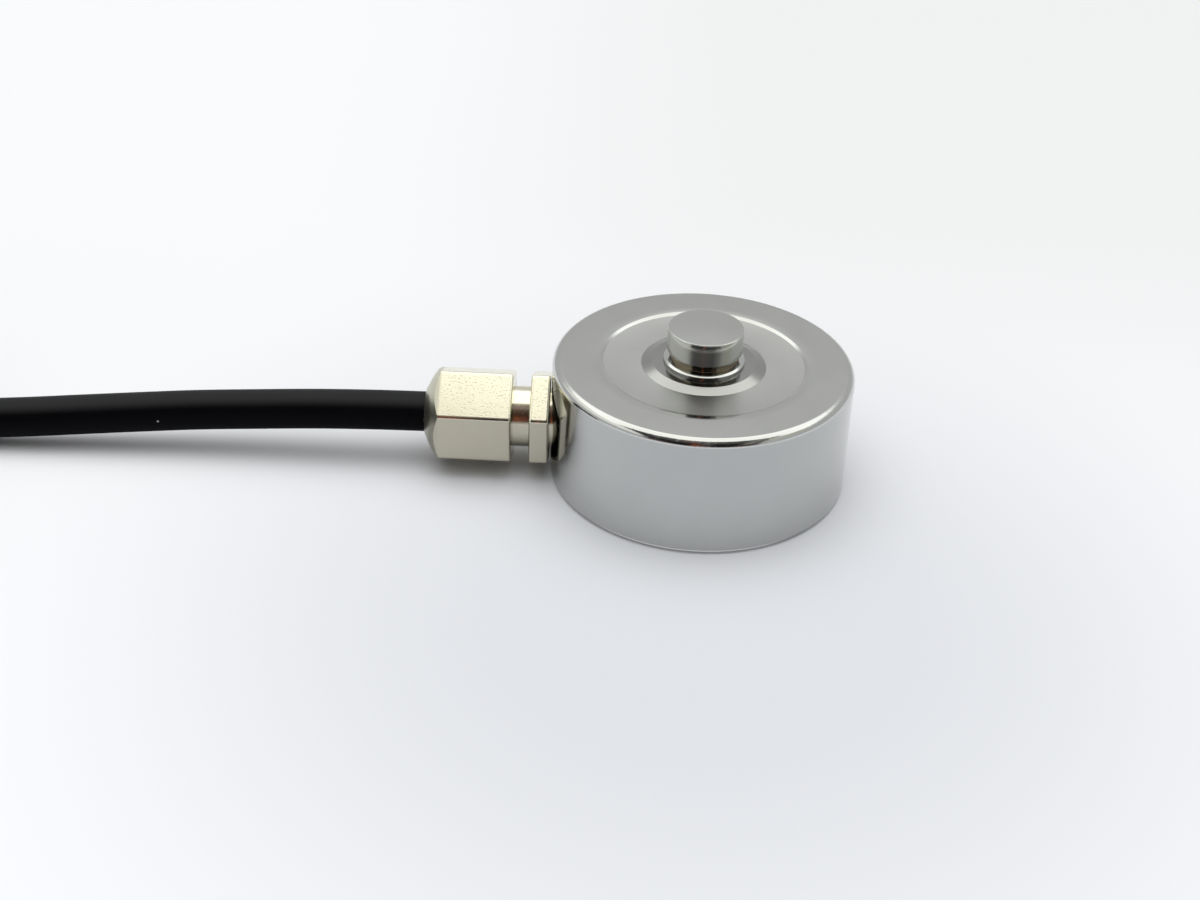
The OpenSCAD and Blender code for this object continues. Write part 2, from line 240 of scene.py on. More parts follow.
def smooth(mesh, sharp_angle):
    """Smooth shading, with sharp edges where the surface turns faster."""
    mesh.shade_smooth()
    mesh.set_sharp_from_angle(angle=math.radians(sharp_angle))


def tube(name, points, diameter, sides=12):
    """A round tube along the points, drawn as a curve and kept as a mesh."""
    data = bpy.data.curves.new(name, "CURVE")
    data.dimensions = "3D"
    data.bevel_depth = diameter / 2
    data.bevel_resolution = (sides - 4) // 2
    data.use_fill_caps = True
    spline = data.splines.new("POLY")
    spline.points.add(len(points) - 1)
    for spot, place in zip(spline.points, points):
        spot.co = (*place, 1.0)
    line = placed("line", data)
    skin = mesh_as_shown(line, name)
    bpy.data.objects.remove(line)
    bpy.data.curves.remove(data)
    smooth(skin, SOFT_SHARP)
    return placed(name, skin)


print("a tube is a curve with a round bevel")

# %% [markdown]
# ## Finishes as formulas
#
# A finish is a small formula of the place on the surface: how far from the axis,
# how high, and what a noise says there. Wiring such formulas node by node is slow to
# read, so two small classes help. A Term is an output socket that can be added,
# multiplied and compared like a number. A Finish is a material that adds any node
# from its type, its settings and its inputs.

# %% Terms
class Term:
    """An output socket. Arithmetic on it adds Math nodes."""

    def __init__(self, tree, socket):
        self.tree, self.socket = tree, socket

    def math(self, operation, *values):
        step = self.tree.nodes.new("ShaderNodeMath")
        step.operation = operation
        for place, value in zip(step.inputs, values):
            if isinstance(value, Term):
                self.tree.links.new(value.socket, place)
            else:
                place.default_value = value
        return Term(self.tree, step.outputs[0])

    def through(self, operation):
        """The term after one Math operation, such as SQRT or SINE."""
        return self.math(operation, self)

    def other(self, name):
        """Another output of the same node."""
        return Term(self.tree, self.socket.node.outputs[name])

    def __add__(self, other):
        return self.math("ADD", self, other)

    def __sub__(self, other):
        return self.math("SUBTRACT", self, other)

    def __rsub__(self, other):
        return self.math("SUBTRACT", other, self)

    def __mul__(self, other):
        return self.math("MULTIPLY", self, other)

    def __gt__(self, other):
        return self.math("GREATER_THAN", self, other)

    def __lt__(self, other):
        return self.math("LESS_THAN", self, other)

    def between(self, low, high):
        """0 below low, 1 above high, and a soft step in between."""
        ranged = self.tree.nodes.new("ShaderNodeMapRange")
        ranged.interpolation_type = "SMOOTHSTEP"
        self.tree.links.new(self.socket, ranged.inputs["Value"])
        ranged.inputs["From Min"].default_value = low
        ranged.inputs["From Max"].default_value = high
        return Term(self.tree, ranged.outputs["Result"])

    def band(self, rise, fall):
        """1 between two soft steps, each given by its low and its high end."""
        return self.between(*rise) * (1 - self.between(*fall))

    __radd__, __rmul__ = __add__, __mul__


print("a Term can be added, subtracted, multiplied and compared")

# %% Finishes
class Recipe:
    """A node tree that is filled one node at a time."""

    def __init__(self, tree):
        self.tree = tree

    def node(self, kind, settings=None, inputs=None, out=0):
        made = self.tree.nodes.new(kind)
        for name, value in (settings or {}).items():
            if name == "stops":
                self.set_stops(made.color_ramp, value)
            else:
                setattr(made, name, value)
        for place, value in (inputs or {}).items():
            if isinstance(value, Term):
                self.tree.links.new(value.socket, made.inputs[place])
            else:
                made.inputs[place].default_value = value
        return Term(self.tree, made.outputs[out])

    @staticmethod
    def set_stops(ramp, stops):
        """Colours of a ramp, each with its position."""
        while len(ramp.elements) < len(stops):
            ramp.elements.new(0.5)
        for element, (position, colour) in zip(ramp.elements, stops):
            element.position, element.color = position, (*colour, 1.0)

    def mix(self, share, first, second):
        """Colours mixed by a share."""
        colours = [c if isinstance(c, Term) else (*c, 1.0) for c in (first, second)]
        return self.node("ShaderNodeMix", {"data_type": "RGBA"},
                         {0: share, 6: colours[0], 7: colours[1]}, out=2)

    def noise(self, size, detail=2.0, rough=0.5, spread=(1, 1, 1)):
        """Noise whose features are about size millimetres across."""
        spot = self.node("ShaderNodeMapping", None,
                         {"Vector": self.place(), "Scale": spread})
        return self.node("ShaderNodeTexNoise", None,
                         {"Vector": spot, "Scale": 1 / mm(size), "Detail": detail,
                          "Roughness": rough})

    def place(self):
        """The place on the piece, in its own coordinates."""
        return self.node("ShaderNodeTexCoord", out="Object")

    def axes(self):
        """The same place as three numbers."""
        x = self.node("ShaderNodeSeparateXYZ", None, {"Vector": self.place()})
        return x, x.other("Y"), x.other("Z")


class Finish(Recipe):
    """A material with one Principled shader."""

    def __init__(self, name, constants):
        self.material = bpy.data.materials.new(name)
        self.material.use_nodes = True
        super().__init__(self.material.node_tree)
        self.shader = self.tree.nodes["Principled BSDF"]
        for socket, value in constants.items():
            self.shader.inputs[socket].default_value = value

    def feed(self, socket, term):
        """Links a term to a socket of the shader."""
        self.tree.links.new(term.socket, self.shader.inputs[socket])

    def bump(self, height, depth, under=None):
        """Relief of the given depth in millimetres, on top of another relief."""
        inputs = {"Height": height, "Distance": mm(depth), "Strength": 1.0}
        if under:
            inputs["Normal"] = under
        return self.node("ShaderNodeBump", None, inputs)


print("a Finish adds any node from its type, settings and inputs")

# %% [markdown]
# ## The sizes of the body
#
# The finish of the body differs from face to face, so the sizes come before it.
# Radii are measured from the upright axis and heights from the bench, in
# millimetres, and slopes are in degrees.

# %% Sizes of the body
BODY_R, BODY_H = 10.0, 8.5
RIM_ROUND, BASE_CHAMFER = 0.55, 0.3
RECESS_R, LIP_Z, STEP_Z, FLOOR_Z, SLOPE_W = 6.85, 8.47, 8.37, 8.3, 0.17
FOOT_R, FOOT_SLOPE, CONE_SLOPE, FLAT_R = 4.12, 18.0, 21.0, 3.45
BOSS_R, BOSS_EDGE_W, BOSS_EDGE_H = 2.68, 0.18, 0.09
NECK_R, NECK_TOP = 2.15, 9.45
BUTTON_R, BUTTON_TOP = 2.49, 11.05
CAVITY_R, CAVITY_TOP, PILLAR_R, PILLAR_FOOT = 6.8, 7.2, 2.1, 6.3
BOARD_SEAT_R, BOARD_TOP, COVER_SEAT_R, COVER_TOP = 6.95, 2.2, 7.25, 0.95

foot_top = FLOOR_Z + (FOOT_R - BOSS_R) * math.tan(math.radians(FOOT_SLOPE))
boss_top = foot_top + BOSS_EDGE_H
flat_z = FLOOR_Z + (FOOT_R - FLAT_R) * math.tan(math.radians(CONE_SLOPE))
print(f"the boss stands {boss_top:.2f} mm up")

# %% [markdown]
# ## The finish of turned steel
#
# The body is turned from one bar of stainless steel and then polished lightly. A
# lathe leaves rings: fine lines at one radius on a face and at one height on a wall.
# The sum of radius and height therefore drives one thin noise that gives rings
# everywhere. On top lies a soft cloudiness from polishing, a fine grain, and a few
# rubbed spots at the rim, where fingers and a bench wear it first. The recess is
# duller than the rim. Painted shade darkens the recess, its conical foot and the
# wall, and a painted brown shade fills the undercut neck below the button.

# %% Turned steel
STEEL_DARK, STEEL_LIGHT = (0.53, 0.54, 0.525), (0.61, 0.62, 0.605)
RECESS_SHADE, FOOT_SHADE = (0.455, 0.46, 0.45), (0.35, 0.355, 0.345)
WALL_SHADE, NECK_SHADE = (0.42, 0.42, 0.42), (0.22, 0.18, 0.12)


def from_axis(x, y):
    """How far a place is from the upright axis."""
    return (x * x + y * y).through("SQRT")


def turned_steel(name, polish, ring_depth=0.0006):
    """Polished steel with lathe rings, and painted shade on the recess, foot, wall and neck."""
    steel = Finish(name, {"Metallic": 1.0})
    x, y, z = steel.axes()
    radius = from_axis(x, y)
    rings = steel.node("ShaderNodeTexNoise", {"noise_dimensions": "1D"},
                       {"W": radius + z, "Scale": 1 / mm(0.09), "Detail": 3.0})
    cloud = steel.noise(2.4, detail=3)
    grain = steel.noise(0.07, detail=1)
    rim = radius.between(mm(BODY_R - 0.8), mm(BODY_R - 0.05))
    rim = rim * z.between(mm(BODY_H - 0.9), mm(BODY_H - 0.2))
    scuff = rim * steel.noise(0.35, detail=4).between(0.48, 0.7)
    above = mm(FLOOR_Z - 0.05), mm(FLOOR_Z - 0.01)
    high = z.between(*above)
    low = z.band(above, (mm(LIP_Z - 0.07), mm(LIP_Z - 0.03)))
    recess = low * radius.band((mm(FOOT_R - 0.02), mm(FOOT_R + 0.08)),
                               (mm(RECESS_R - 0.25), mm(RECESS_R - 0.15)))
    foot = high * radius.band((mm(BOSS_R - 0.02), mm(BOSS_R + 0.02)),
                              (mm(FOOT_R - 0.02), mm(FOOT_R + 0.04)))
    neck = high * (radius < mm(NECK_R + 0.15)) * (z < mm(NECK_TOP - 0.01))
    wall = 1 - z.between(mm(BODY_H - 0.6), mm(BODY_H - 0.3))
    wall = wall * radius.between(mm(BODY_R - 0.1), mm(BODY_R - 0.03))
    tone = steel.mix(cloud * 0.7 + rings * 0.3, STEEL_DARK, STEEL_LIGHT)
    # Painted shade: darker tones on the recess, the foot, the wall and the neck under the button.
    for share, own in ((recess * 0.85, RECESS_SHADE), (foot * 0.9, FOOT_SHADE),
                       (wall * 0.42, WALL_SHADE), (neck * 0.9, NECK_SHADE)):
        tone = steel.mix(share, tone, own)
    steel.feed("Base Color", tone)
    dull = recess * 0.2 + foot * 0.03
    steel.feed("Roughness", polish + cloud * 0.08 + grain * 0.05 + scuff * 0.12 + dull)
    relief = steel.bump(rings * 0.7 + grain * 0.5, ring_depth)
    steel.feed("Normal", steel.bump(scuff, 0.002, relief))
    return steel.material


body_finish = turned_steel("turned_steel", polish=0.05)
cover_finish = turned_steel("faced_steel", polish=0.24, ring_depth=0.003)
print("turned steel for the body and a coarser one for the cover")

# %% [markdown]
# ## The finish of nickel
#
# The gland is brass with a nickel plate. The plate is warm in colour, and it follows
# the sawn and milled surface below it, so it sparkles with a fine pitted grain. Two
# noises do that: one for the grain and one, cut off low, for scattered pits. The
# turned cone stayed duller than the milled flats, and the lower half is darker:
# painted shade.

# %% Nickel plate
PLATE_DARK, PLATE_LIGHT, PLATE_PIT = (0.76, 0.72, 0.55), (0.96, 0.94, 0.78), (0.52, 0.47, 0.36)
PLATE_LOWER_SHADE, PLATE_CONE = (0.36, 0.33, 0.275), (0.47, 0.46, 0.37)


def nickel_plate(name):
    """Warm plated metal with a fine grain, painted shade below and duller on the cone."""
    nickel = Finish(name, {"Metallic": 1.0})
    grain = nickel.noise(0.11, detail=4, rough=0.7)
    pits = nickel.noise(0.12, detail=1).between(0.58, 0.72)
    cloud = nickel.noise(1.6, detail=2)
    x, _, z = nickel.axes()
    cone = (0 - x).between(mm(GLAND_END - 1.2), mm(GLAND_END - 0.95))
    # Painted shade: the lower half of the gland is darker.
    lower_shade = 1 - z.between(mm(GLAND_Z + 1.3), mm(GLAND_Z + 1.5))
    tone = nickel.mix(cloud * 0.4 + grain * 0.6, PLATE_DARK, PLATE_LIGHT)
    for share, own in ((lower_shade * 0.72, PLATE_LOWER_SHADE), (cone * 0.75, PLATE_CONE),
                       (pits * 0.3, PLATE_PIT)):
        tone = nickel.mix(share, tone, own)
    nickel.feed("Base Color", tone)
    nickel.feed("Roughness", 0.13 + grain * 0.08 + pits * 0.1 + cone * 0.16)
    relief = nickel.bump(grain, 0.0008)
    nickel.feed("Normal", nickel.bump(1 - pits, 0.0015, relief))
    return nickel.material


gland_finish = nickel_plate("nickel_plate")
print("nickel for the gland")

# %% [markdown]
# ## The finish of the jacket
#
# The jacket is black polyurethane: even, slightly silky, with the faint drag marks
# of the extruder and a few specks of dust. It isn't quite black, because real
# plastics never are. The specks come from a cell pattern: only cells with a high
# random value get one, and only close to their middle. A lighter film where the
# surface faces up is painted light from above.

# %% Black jacket
SPECK_TONE = (0.7, 0.7, 0.68)


def dusty_plastic(name, colour, roughness, grain_depth=0.004, dust=0.5, shine=0.4, film=0.01):
    """Plastic with a fine grain, a few specks of dust and a painted lighter top where it faces up.
    """
    skin = Finish(name, {"Roughness": roughness, "Specular IOR Level": shine})
    grain = skin.noise(0.12, detail=3)
    cloud = skin.noise(4.0, detail=3)
    cell = skin.node("ShaderNodeTexVoronoi", None,
                     {"Vector": skin.place(), "Scale": 1 / mm(1.1), "Randomness": 1.0})
    lucky = skin.node("ShaderNodeSeparateXYZ", None, {"Vector": cell.other("Color")})
    speck = (cell < 0.07) * (lucky > 0.86) * dust
    lighter = tuple(c * 1.5 for c in colour)
    facing = skin.node("ShaderNodeNewGeometry", out="Normal")
    up = skin.node("ShaderNodeSeparateXYZ", None, {"Vector": facing}).other("Z")
    # The film lightens the tone where the surface faces up: painted light from above.
    lit_top = tuple(c + film for c in colour)
    tone = skin.mix(up.between(0.55, 0.95), skin.mix(cloud, colour, lighter), lit_top)
    skin.feed("Base Color", skin.mix(speck, tone, SPECK_TONE))
    skin.feed("Roughness", roughness - 0.06 + cloud * 0.1 + grain * 0.04)
    skin.feed("Normal", skin.bump(grain, grain_depth))
    return skin.material


# The film here paints the light on the top of the jacket.
jacket_finish = dusty_plastic("black_jacket", (0.0012, 0.0012, 0.0018), 0.5, shine=0.04,
                              film=0.024)
tie_finish = dusty_plastic("tie_plastic", (0.02, 0.02, 0.02), 0.5, 0.01, 0.0)
print("black plastics for the cable and its ties")

# %% [markdown]
# ## Finishes inside and under the sensor
#
# Nothing inside shows while the sensor is whole, but it is there, and a reader who
# takes the cover off should find it finished: gauge grids on amber film, a green
# board with its weave, resistors with tinned ends, bright copper and coloured cores.

# %% Gauge film, board and resistors
def gauge_film():
    """Amber film with the pale grid of a strain gauge."""
    film = Finish("gauge_film", {"Roughness": 0.35})
    x, y, _ = film.axes()
    radius = from_axis(x, y)
    lines = (radius * (math.tau / mm(0.16))).through("SINE")
    grid = lines.between(-0.2, 0.2) * radius.between(mm(4.2), mm(4.3))
    film.feed("Base Color", film.mix(grid, (0.72, 0.42, 0.12), (0.75, 0.62, 0.42)))
    film.feed("Metallic", grid * 0.8)
    film.feed("Normal", film.bump(grid, 0.004))
    return film.material


def green_board():
    """Lacquered board whose glass cloth shows through."""
    board = Finish("green_board", {"Roughness": 0.35, "Coat Weight": 0.3})
    x, y, _ = board.axes()
    warp = (x * (math.tau / mm(0.5))).through("SINE")
    weft = (y * (math.tau / mm(0.5))).through("SINE")
    cloth = warp * weft * 0.5 + 0.5
    board.feed("Base Color", board.mix(cloth, (0.02, 0.14, 0.05), (0.04, 0.2, 0.08)))
    board.feed("Normal", board.bump(cloth, 0.006))
    return board.material


def chip_resistor():
    """Black ceramic with tinned ends."""
    chip = Finish("chip_resistor", {"Roughness": 0.4})
    x, y, _ = chip.axes()
    ends = (y.through("ABSOLUTE") > mm(0.5)) * (x < mm(4.1))
    grain = chip.noise(0.1)
    chip.feed("Base Color", chip.mix(ends, (0.015, 0.015, 0.017), (0.7, 0.7, 0.69)))
    chip.feed("Metallic", ends)
    chip.feed("Roughness", 0.3 + grain * 0.2)
    return chip.material


print("film, board and resistor finishes are ready to make")

# %% Wire, rubber and brass
def drawn_metal(name, dark, light, roughness):
    """Soft metal with long streaks along X, as drawing or rolling leaves them."""
    metal = Finish(name, {"Metallic": 1.0})
    streaks = metal.noise(0.08, detail=3, spread=(0.1, 1, 1))
    metal.feed("Base Color", metal.mix(streaks, dark, light))
    metal.feed("Roughness", roughness + streaks * 0.12)
    metal.feed("Normal", metal.bump(streaks, 0.003))
    return metal.material


WIRE_TONES = {
    "red": (0.45, 0.02, 0.015), "black": (0.02, 0.02, 0.02),
    "green": (0.02, 0.2, 0.05), "white": (0.55, 0.55, 0.53),
}
INNER = {
    "base_cover": cover_finish,
    "gauge_wires": drawn_metal("copper_wire", (0.6, 0.26, 0.13), (0.85, 0.42, 0.24), 0.25),
    "bridge_board": green_board(),
    "trim_resistors": chip_resistor(),
    "gland_seal": dusty_plastic("seal_rubber", (0.03, 0.03, 0.03), 0.7, 0.01, 0.0),
    "gland_washer": drawn_metal("washer_brass", (0.6, 0.45, 0.2), (0.75, 0.58, 0.3), 0.3),
    "cable_entry": jacket_finish,
}
for colour, tone in WIRE_TONES.items():
    INNER[f"core_{colour}"] = dusty_plastic(f"core_{colour}", tone, 0.35, 0.003, 0.0)
film = gauge_film()
for number in range(1, 5):
    INNER[f"strain_gauge_{number}"] = film


def dress(node, finish):
    """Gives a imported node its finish. The mesh stays as it is."""
    materials = nodes[node].data.materials
    if not materials:
        materials.append(finish)
    for place in range(len(materials)):
        materials[place] = finish


for node, finish in INNER.items():
    dress(node, finish)
print("packed nodes with a finish:", len(INNER))

# %% [markdown]
# ## Turning a profile
#
# The body, the gland and its nut are all turned, so each is one profile, drawn as
# corners in radius and height, and spun round an axis. A real tool never leaves a
# perfectly sharp corner, and light shows that: the thin bright line round the
# rim is nothing but its rounding. So every corner may carry a radius, and the
# drawing function replaces it with a short arc.

# %% Profiles with rounded corners
def rounded(corners):
    """A line of (radius, height) points; a third number rounds that corner."""
    line = []
    for index, corner in enumerate(corners):
        here = Vector(corner[:2])
        if len(corner) < 3 or index in (0, len(corners) - 1):
            line.append(here)
            continue
        back = (Vector(corners[index - 1][:2]) - here).normalized()
        ahead = (Vector(corners[index + 1][:2]) - here).normalized()
        half = back.angle(ahead) / 2
        centre = here + (back + ahead).normalized() * corner[2] / math.sin(half)
        first = here + back * corner[2] / math.tan(half) - centre
        last = here + ahead * corner[2] / math.tan(half) - centre
        turn = math.atan2(first.cross(last), first.dot(last))
        steps = max(3, round(abs(turn) / math.radians(9)))
        line += [centre + Matrix.Rotation(turn * i / steps, 2) @ first for i in range(steps + 1)]
    return line


square = rounded([(0, 0), (5, 0, 1), (5, 5)])
print("a square corner with a radius becomes", len(square) - 2, "points")

# %% Spinning a profile
METAL_SHARP = 28


def turned(line, steps, closed=False):
    """A bmesh spun round Z from a line in millimetres."""
    bm = bmesh.new()
    spots = [bm.verts.new(mm(p[0], 0, p[1])) for p in line]
    edges = [bm.edges.new(pair) for pair in zip(spots, spots[1:])]
    if closed:
        edges.append(bm.edges.new((spots[-1], spots[0])))
    bmesh.ops.spin(bm, geom=spots + edges, cent=(0, 0, 0), axis=(0, 0, 1),
                   angle=math.tau, steps=steps, use_merge=True)
    bmesh.ops.remove_doubles(bm, verts=bm.verts, dist=mm(0.0005))
    bmesh.ops.recalc_face_normals(bm, faces=bm.faces)
    return bm


def mesh_from(bm, name):
    """A mesh with the shape of a bmesh, which is then given up."""
    mesh = bpy.data.meshes.new(name)
    bm.to_mesh(mesh)
    bm.free()
    return mesh


def as_piece(bm, name, finish, sharp_angle=METAL_SHARP):
    """A finished object from a bmesh, with evenly shaded faces."""
    mesh = mesh_from(bm, name)
    smooth(mesh, sharp_angle)
    mesh.materials.append(finish)
    piece = placed(name, mesh)
    piece.modifiers.new("even_shading", "WEIGHTED_NORMAL").keep_sharp = True
    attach(piece, "root")
    print(f"{name}: {len(mesh.polygons)} faces")
    return piece


print("edges stay sharp where faces turn by more than", METAL_SHARP, "degrees")

# %% [markdown]
# ## The body
#
# One profile holds the whole body: the seats for the cover and the board, the
# cavity with its hub, the wall, the rim, the recessed face, the low conical foot,
# the boss with its bright edge, the undercut neck and the load button. The ring of
# thin steel between the wall and the foot is what bends when the button is pressed.
# Polishing has drawn the rim's inner edge down a little, so the light climbs
# softly towards it, and a narrow flat step lies between the cone and the boss.

# %% The body's profile
inside = [
    (0, PILLAR_FOOT), (PILLAR_R, PILLAR_FOOT, 0.1), (PILLAR_R, CAVITY_TOP, 0.15),
    (CAVITY_R, CAVITY_TOP, 0.6), (CAVITY_R, BOARD_TOP), (BOARD_SEAT_R, BOARD_TOP),
    (BOARD_SEAT_R, COVER_TOP), (COVER_SEAT_R, COVER_TOP), (COVER_SEAT_R, 0, 0.06),
]
outside = [
    (BODY_R - BASE_CHAMFER, 0, 0.05), (BODY_R, BASE_CHAMFER, 0.05),
    (BODY_R, BODY_H, RIM_ROUND), (RECESS_R + 0.4, BODY_H, 7.0), (RECESS_R + 0.03, LIP_Z, 0.1),
    (RECESS_R - SLOPE_W, STEP_Z, 0.12), (FOOT_R, FLOOR_Z, 0.03), (FLAT_R, flat_z, 0.03),
    (BOSS_R + 0.02, flat_z), (BOSS_R, foot_top, 0.03),
    (BOSS_R - BOSS_EDGE_W, boss_top, 0.06),
    (NECK_R, boss_top, 0.06), (NECK_R, NECK_TOP, 0.04),
    (BUTTON_R, NECK_TOP, 0.05), (BUTTON_R, BUTTON_TOP, 0.06), (0, BUTTON_TOP),
]
body_line = rounded(inside + outside)
print("points in the profile:", len(body_line))

# %% [markdown]
# Four holes are cut into the turned body: one in its side for the gland, and three
# tapped holes in its base. A Boolean modifier does that best, since the tools are
# turned shapes themselves. The tap is a turned zigzag, close enough to an M2 thread
# to catch the light as one.

# %% Cutting tools
HOLE_R, THREAD_R, HOLE_DEPTH, HOLE_PITCH, HOLE_CIRCLE = 0.8, 0.95, 3.0, 0.4, 8.4
RIDGES, STUB_R, STUB_FIT, BORE_FROM, BORE_TO = 14, 2.0, 0.02, 3.4, 12


def tap():
    """The shape of one tapped hole: a zigzag for its thread and a plain end."""
    ridges = [(THREAD_R if i % 2 else HOLE_R, 0.1 + i * HOLE_PITCH / 2) for i in range(RIDGES)]
    return turned([(0, -0.5), (THREAD_R, -0.5), (THREAD_R, 0.02), *ridges,
                   (HOLE_R, HOLE_DEPTH), (0, HOLE_DEPTH + 0.48)], 32)


def tool(bm, place):
    """An object to cut with, moved to its place."""
    bm.transform(place)
    return placed("tool", mesh_from(bm, "tool"))


ALONG_GLAND = Matrix.Translation(mm(0, 0, GLAND_Z)) @ Matrix.Rotation(-math.pi / 2, 4, "Y")
bore_r = STUB_R + STUB_FIT
bore_line = [(0, BORE_FROM), (bore_r, BORE_FROM), (bore_r, BORE_TO), (0, BORE_TO)]
tools = [tool(turned(bore_line, 64), ALONG_GLAND)]
for third in range(3):
    spot = Matrix.Rotation(math.tau * third / 3, 4, "Z") @ Matrix.Translation(mm(HOLE_CIRCLE, 0, 0))
    tools.append(tool(tap(), spot))
print("cutting tools:", len(tools))

# %% Cut and finish the body
body = as_piece(turned(body_line, 192), "turned_body", body_finish)
body.modifiers.clear()
for cutter in tools:
    cut = body.modifiers.new("cut", "BOOLEAN")
    cut.operation, cut.object, cut.solver = "DIFFERENCE", cutter, "EXACT"
cut_mesh = mesh_as_shown(body, "turned_body")
body.modifiers.clear()
body.data = cut_mesh
for cutter in tools:
    bpy.data.objects.remove(cutter)
smooth(cut_mesh, METAL_SHARP)
body.modifiers.new("even_shading", "WEIGHTED_NORMAL").keep_sharp = True
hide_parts("sensor_body")
print("faces after cutting:", len(cut_mesh.polygons))

# %% [markdown]
# ## The gland
#
# The gland's fitting and its nut are turned too, from hexagon bar. So they are spun
# at first as if the bar were round and a little too thick. Six flat cuts then
# leave the hexagon, and where a flat runs into the nut's cone the cut gives the
# curved edge that every real nut has. A small bevel on the sharp edges lets them
# catch the light.

# %% Hexagon cuts
HEX_AF, HEX_TURN = 5.9, 4.6
HEX_R = HEX_AF / math.sqrt(3)
SMALLEST_FLAT, NEAR_AXIS = 1.0, 2.5


def with_flats(bm):
    """Six flats cut on a turned blank, each closed again by one face."""
    for side in range(6):
        angle = math.radians(30 + 60 * side)
        out = Vector((math.cos(angle), math.sin(angle), 0))
        geometry = bm.verts[:] + bm.edges[:] + bm.faces[:]
        bmesh.ops.bisect_plane(bm, geom=geometry, dist=mm(0.0001), plane_co=out * mm(HEX_AF / 2),
                               plane_no=out, clear_outer=True)
        rim = [edge for edge in bm.edges if edge.is_boundary]
        bmesh.ops.holes_fill(bm, edges=rim, sides=0)
    bmesh.ops.recalc_face_normals(bm, faces=bm.faces)
    return bm


def eased_edges(bm, width, sharper_than=24):
    """A small round bevel where two flats, or a flat and an end face, meet."""
    def plane(face):
        return face.calc_area() > mm(SMALLEST_FLAT) ** 2 or abs(face.normal.z) > 0.99

    sharp = [edge for edge in bm.edges
             if len(edge.link_faces) == 2 and all(plane(face) for face in edge.link_faces)
             and edge.calc_face_angle() > math.radians(sharper_than)
             and min(vert.co.xy.length for vert in edge.verts) > mm(NEAR_AXIS)]
    bmesh.ops.bevel(bm, geom=sharp, offset=mm(width), segments=5, profile=0.5,
                    affect="EDGES", material=-1, clamp_overlap=False)
    print("eased edges:", len(sharp))
    return bm


ALONG_HEXAGON = ALONG_GLAND @ Matrix.Rotation(math.radians(-HEX_TURN), 4, "Z")
print(f"across flats {HEX_AF} mm, across corners {2 * HEX_R:.2f} mm")

# %% Stations along the gland
FLANGE_FACE, FLANGE_END = 10.05, 11.35
NUT_FACE, HEX_END = 12.55, 17.35
STUB_END, THREAD_END = 7.0, 15.35
CHAMBER_END, BLANK_SPARE = 17.2, 0.3
GLAND_BORE_R, COLLAR_R, CONE_R, CONE_BULGE = 1.43, 2.05, 1.58, 0.1
FITTING_EDGE, NUT_EDGE = 0.17, 0.18

fitting_line = rounded([
    (GLAND_BORE_R, STUB_END), (STUB_R, STUB_END), (STUB_R, FLANGE_FACE),
    (HEX_R + BLANK_SPARE, FLANGE_FACE), (HEX_R + BLANK_SPARE, FLANGE_END),
    (COLLAR_R, FLANGE_END, 0.08),
    (COLLAR_R, NUT_FACE), (STUB_R, NUT_FACE), (STUB_R, THREAD_END), (GLAND_BORE_R, THREAD_END),
])
fitting = eased_edges(with_flats(turned(fitting_line, 96, closed=True)), FITTING_EDGE)
fitting.transform(ALONG_HEXAGON)
fitting = as_piece(fitting, "gland_fitting", gland_finish)
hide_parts("gland_body")

# %% The nut
foot, top = Vector((HEX_R, HEX_END)), Vector((CONE_R, GLAND_END))
middle = (foot + top) / 2 + Vector((0, CONE_BULGE))
brim = foot + (foot - middle) / 4
nut_line = rounded([
    (bore_r, NUT_FACE), (brim.x, NUT_FACE), (*brim,), (*middle, 2.0), (*top,),
    (GLAND_BORE_R, GLAND_END), (GLAND_BORE_R, CHAMBER_END), (bore_r, CHAMBER_END),
])
nut = eased_edges(with_flats(turned(nut_line, 96, closed=True)), NUT_EDGE)
nut.transform(ALONG_HEXAGON)
nut = as_piece(nut, "gland_cap", gland_finish)
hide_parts("gland_nut")

# %% [markdown]
# ## The leads and the ties
#
# A sensor cable is sold with bare ends. The jacket stops, five leads come out, and
# the last few millimetres of each are stripped and tinned. Each lead is a tube
# that starts inside the jacket and settles on the turns below it.

# %% Places of the leads
BAY_X, LEAD_L, STRAND_L, CORE_D, STRAND_D = -103.5, 28.0, 5.0, 0.8, 0.44
BAY_Y = HANK_Y - (MIDDLE_R + PITCH)
BAY_Z = FIRST_Z - CABLE_D / 2 + (LAYERS - 1) * PITCH
end_middle = Vector((BAY_X, BAY_Y, BAY_Z + CABLE_D / 2))
LEADS = {
    "red": ((-0.85, 0.4), LEAD_L),
    "black": ((0.0, 0.4), LEAD_L - 2),
    "green": ((0.85, 0.4), LEAD_L - 1),
    "white": ((-0.425, 1.12), LEAD_L - 3),
    "shield": ((0.425, 1.12), LEAD_L - 4),
}
print("leads:", ", ".join(LEADS))

# %% Insulation and tinned strands
HIDDEN_L, SETTLE_L, LEAD_STEPS, WAVE, WAVE_RATE = 1.2, 5, 24, 0.02, 0.9
BUNDLE_MIDDLE, BUNCH_ASIDE, BUNCH_UP = 0.76, 0.62, 0.9


def lead_line(aside, up, length, phase):
    """From inside the jacket out to the resting place, with a little waviness."""
    line = []
    for step in range(LEAD_STEPS + 1):
        along = -HIDDEN_L + (length + HIDDEN_L) * step / LEAD_STEPS
        settled = min(max(along / SETTLE_L, 0.0), 1.0)
        settled *= settled * (3 - 2 * settled)
        wave = WAVE * math.sin(along * WAVE_RATE + phase) * settled
        inside_jacket = Vector((along, aside * BUNCH_ASIDE, (up - BUNDLE_MIDDLE) * BUNCH_UP))
        bunched = end_middle + inside_jacket
        resting = Vector((BAY_X + along, BAY_Y + aside + wave, BAY_Z + up))
        line.append(bunched.lerp(resting, settled))
    return line


